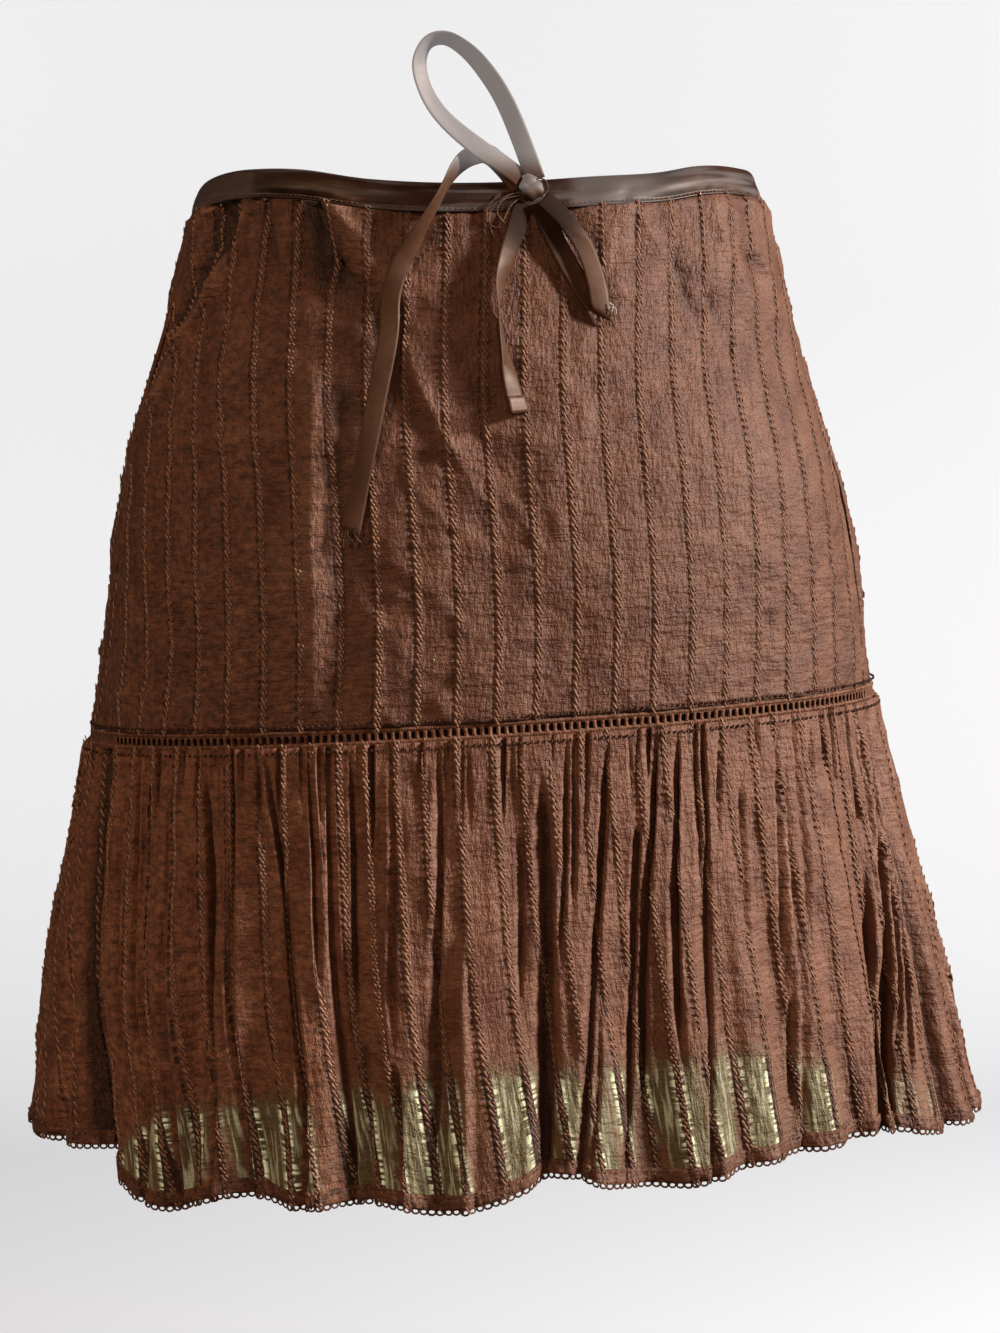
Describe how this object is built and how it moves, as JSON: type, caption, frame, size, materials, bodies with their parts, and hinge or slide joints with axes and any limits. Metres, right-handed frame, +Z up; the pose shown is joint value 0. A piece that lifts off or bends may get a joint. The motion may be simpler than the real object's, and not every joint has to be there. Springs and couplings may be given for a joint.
{
  "type": "tiered ruffle skirt",
  "caption": "Worn-shape short skirt: ribbed cotton upper tier, ladder insertion, gathered ruffle with edged hem, inner lining and a satin ribbon bow at the bound waist.",
  "frame": {"origin": "middle of the waist opening, level with the binding's upper edge at the sides", "axes": "+Z up out of the waist, -Y to the front, where the bow is, +X to the right as you face the front"},
  "size_m": [0.4779, 0.3682, 0.5306],
  "materials": {
    "ribbed_cotton": "matte crepe with raised cords",
    "satin": "satin sheen",
    "lining_cotton": "matte plain weave"
  },
  "bodies": {
    "root": {"waist_binding": "satin", "upper_front": "ribbed_cotton", "upper_back": "ribbed_cotton", "ladder_front": "ribbed_cotton", "ladder_back": "ribbed_cotton", "ruffle_front": "ribbed_cotton", "ruffle_back": "ribbed_cotton", "hem_edging_front": "ribbed_cotton", "hem_edging_back": "ribbed_cotton", "lining_front": "lining_cotton", "lining_back": "lining_cotton", "ribbon_knot": "satin", "ribbon_loop_up": "satin", "ribbon_loop_down": "satin", "ribbon_tail_long": "satin", "ribbon_tail_short": "satin"}
  },
  "joints": []
}
